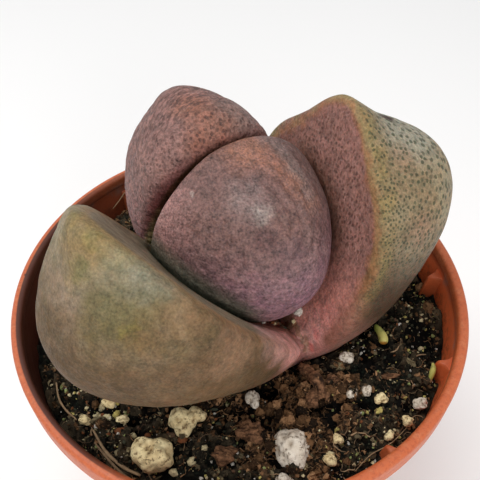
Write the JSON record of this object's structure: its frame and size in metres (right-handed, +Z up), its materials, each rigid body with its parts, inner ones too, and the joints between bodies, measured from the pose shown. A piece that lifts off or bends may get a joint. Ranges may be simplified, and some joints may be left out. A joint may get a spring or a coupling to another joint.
{
  "type": "potted split rock plant",
  "caption": "Stone-like succulent in a small round plastic pot: an opened pair of thick leaves with a new pair rising from the split, in gritty soil.",
  "frame": {"origin": "middle of the underside of the pot's foot, on the floor", "axes": "+Z up along the pot's axis; +Y away from the viewer of the picture; +X to the viewer's right"},
  "size_m": [0.065, 0.065, 0.0853],
  "materials": {
    "pot": "satin terracotta-orange moulded plastic",
    "soil": "dark damp peat mix, matt",
    "stem": "dry brown root, matt",
    "old_leaf": "firm matt skin, olive-grey with dark dots",
    "new_leaf": "firm matt skin, mauve-brown",
    "perlite": "rough white grain",
    "pumice": "rough pale yellow-brown grain",
    "bark": "rough brown lump",
    "pellet": "yellow-green, matt"
  },
  "bodies": {
    "root": {"bark_01": "bark", "bark_02": "bark", "bark_03": "bark", "bark_04": "bark", "bark_05": "bark", "bark_06": "bark", "bark_07": "bark", "bark_08": "bark", "new_leaf_back": "new_leaf", "new_leaf_front": "new_leaf", "old_leaf_left": "old_leaf", "old_leaf_right": "old_leaf", "pellet_01": "pellet", "perlite_01": "perlite", "perlite_02": "perlite", "perlite_03": "perlite", "perlite_04": "perlite", "perlite_05": "perlite", "perlite_06": "perlite", "perlite_07": "perlite", "perlite_08": "perlite", "perlite_09": "perlite", "perlite_10": "perlite", "perlite_11": "perlite", "pot": "pot", "pumice_01": "pumice", "pumice_02": "pumice", "pumice_03": "pumice", "pumice_04": "pumice", "pumice_05": "pumice", "pumice_06": "pumice", "pumice_07": "pumice", "pumice_08": "pumice", "pumice_09": "pumice", "pumice_10": "pumice", "pumice_11": "pumice", "pumice_12": "pumice", "pumice_13": "pumice", "pumice_14": "pumice", "soil": "soil", "stem": "stem"}
  },
  "joints": []
}
